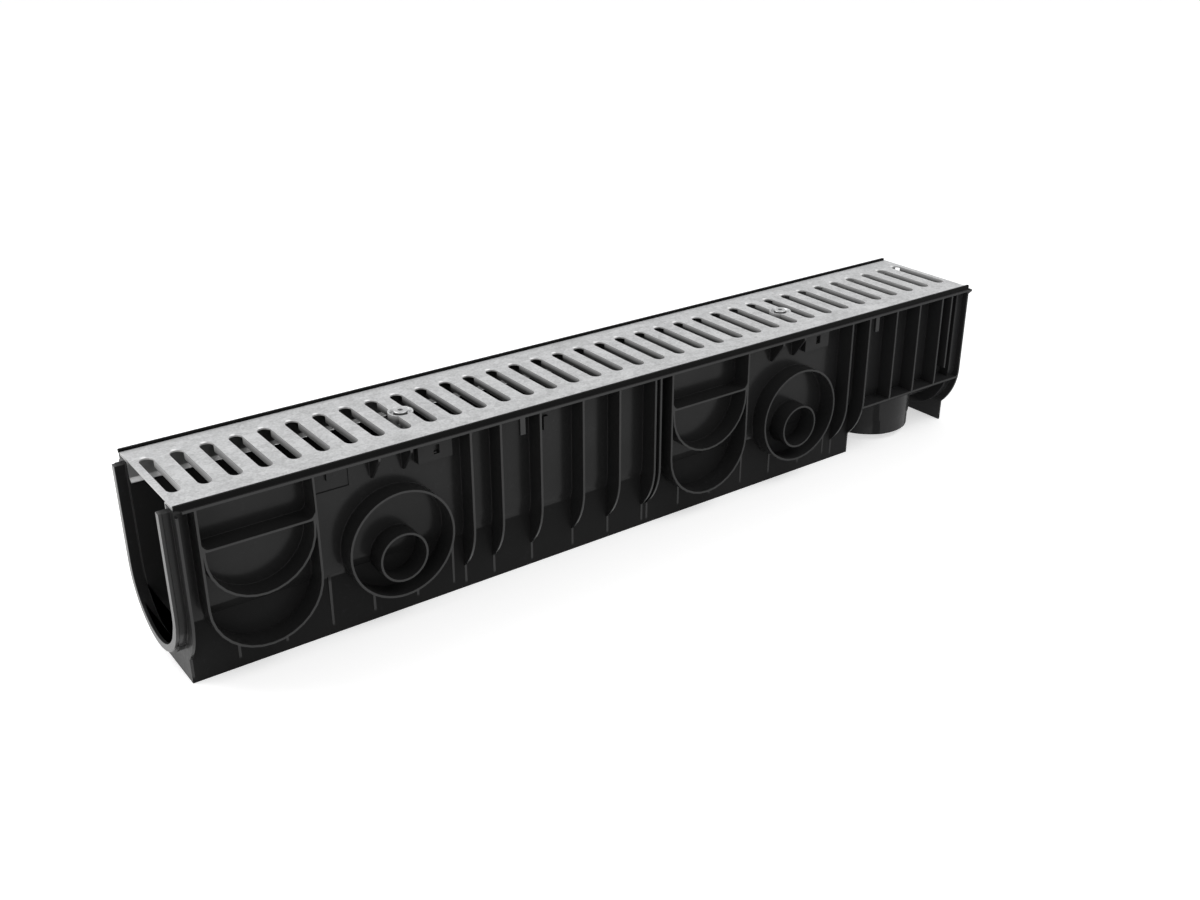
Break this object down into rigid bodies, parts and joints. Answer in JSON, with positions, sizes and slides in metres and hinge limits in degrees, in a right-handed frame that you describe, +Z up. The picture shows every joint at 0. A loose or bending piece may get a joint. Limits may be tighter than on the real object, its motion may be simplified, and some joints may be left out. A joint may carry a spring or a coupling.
{
  "type": "channel drain",
  "caption": "Straight moulded drainage channel with a ribbed body, a bottom pipe outlet and a bolted slotted steel grate on top.",
  "frame": {"origin": "middle of the overall box, on the surface that the foot stands on", "axes": "+X along the channel from the collar end to the socket and outlet end, +Y across it, +Z up"},
  "size_m": [1.016, 0.145, 0.1869],
  "materials": {
    "black_plastic": "moulded black polypropylene with a slight sheen",
    "galvanised_sheet": "hot-dip galvanised, pale grey and softly mottled",
    "bolt_steel": "bright stainless steel",
    "bar_steel": "zinc plated"
  },
  "bodies": {
    "channel": {"channel_body": "black_plastic", "crossbar_near": "bar_steel", "crossbar_far": "bar_steel", "nut_near": "bar_steel", "nut_far": "bar_steel"},
    "grate": {"grate": "galvanised_sheet"},
    "bolt_near": {"bolt_near": "bolt_steel"},
    "bolt_far": {"bolt_far": "bolt_steel"}
  },
  "joints": [
    {"name": "grate_lift", "type": "slide", "parent": "channel", "child": "grate", "axis": [0, 0, 1], "range_m": [0, 0.06]},
    {"name": "bolt_near_turn", "type": "hinge", "parent": "grate", "child": "bolt_near", "pos_m": [-0.2482, 0, 0.182], "axis": [0, 0, 1], "continuous": true},
    {"name": "bolt_far_turn", "type": "hinge", "parent": "grate", "child": "bolt_far", "pos_m": [0.2522, 0, 0.182], "axis": [0, 0, 1], "continuous": true}
  ]
}
